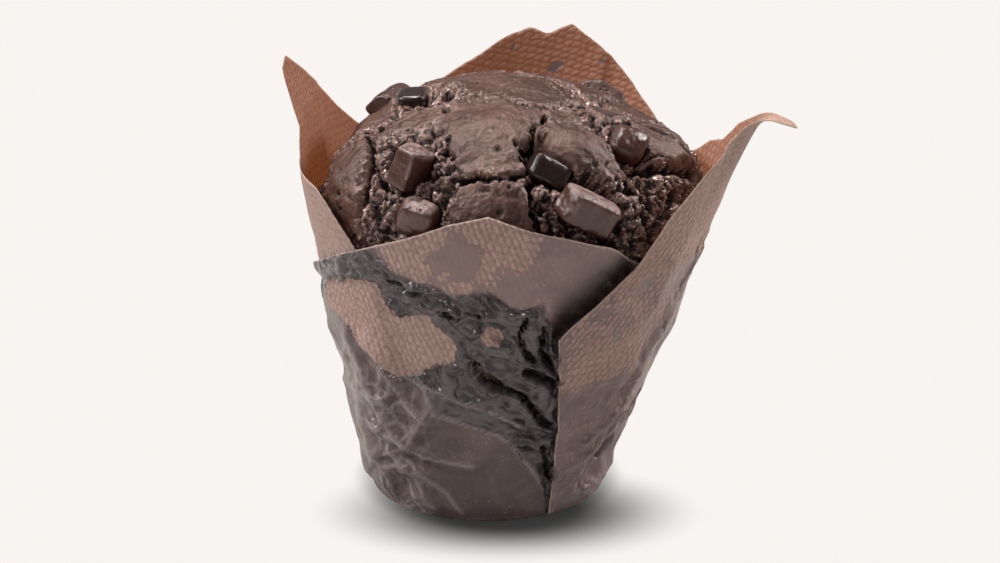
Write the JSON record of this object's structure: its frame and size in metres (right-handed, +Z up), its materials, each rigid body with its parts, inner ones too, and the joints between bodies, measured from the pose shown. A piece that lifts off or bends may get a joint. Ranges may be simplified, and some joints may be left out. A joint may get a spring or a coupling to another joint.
{
  "type": "chocolate chunk muffin",
  "caption": "Domed dark chocolate muffin with a cracked crust and chocolate chunks, standing in a pleated tulip paper wrap with flared petals.",
  "frame": {"origin": "middle of the flat base of the wrap, on the surface that the muffin stands on", "axes": "+Z up, -Y towards the front petal, +X towards the flared right petal"},
  "size_m": [0.1018, 0.089, 0.0874],
  "materials": {
    "crumb": "matte",
    "paper": "satin",
    "chocolate": "satin"
  },
  "bodies": {
    "root": {"muffin_crumb": "crumb", "tulip_wrap": "paper", "chocolate_chunk_1": "chocolate", "chocolate_chunk_2": "chocolate", "chocolate_chunk_3": "chocolate", "chocolate_chunk_4": "chocolate", "chocolate_chunk_5": "chocolate", "chocolate_chunk_6": "chocolate", "chocolate_chunk_7": "chocolate", "chocolate_chunk_8": "chocolate", "chocolate_chunk_9": "chocolate"}
  },
  "joints": []
}
